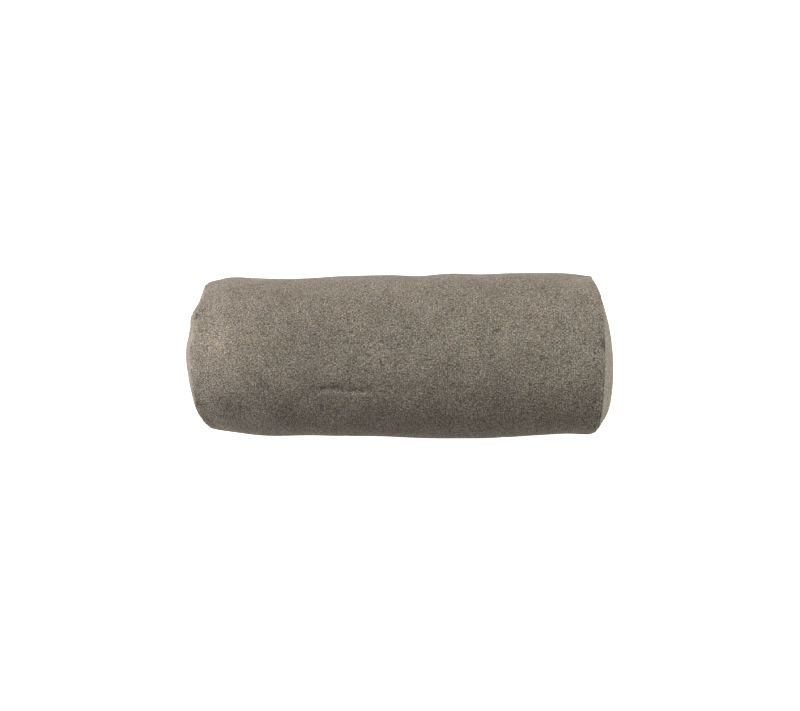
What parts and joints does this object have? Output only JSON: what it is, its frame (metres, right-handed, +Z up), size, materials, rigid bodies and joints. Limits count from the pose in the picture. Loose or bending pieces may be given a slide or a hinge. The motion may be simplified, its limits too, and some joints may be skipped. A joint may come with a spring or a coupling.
{
  "type": "bolster cushion",
  "caption": "Round bolster cushion lying on its side: a filled tube of coarse woollen cloth with a crowned round panel sewn into each end.",
  "frame": {"origin": "on the surface that the cushion lies on, under the middle of its box", "axes": "+X along the cushion to its right end, +Z up, -Y towards the side with the lengthwise seam"},
  "size_m": [0.519, 0.2035, 0.1921],
  "materials": {
    "wool_cloth": "coarse plain-woven wool in mixed grey-brown yarns, matt"
  },
  "bodies": {
    "root": {"cushion_body": "wool_cloth", "end_panel_left": "wool_cloth", "end_panel_right": "wool_cloth"}
  },
  "joints": []
}
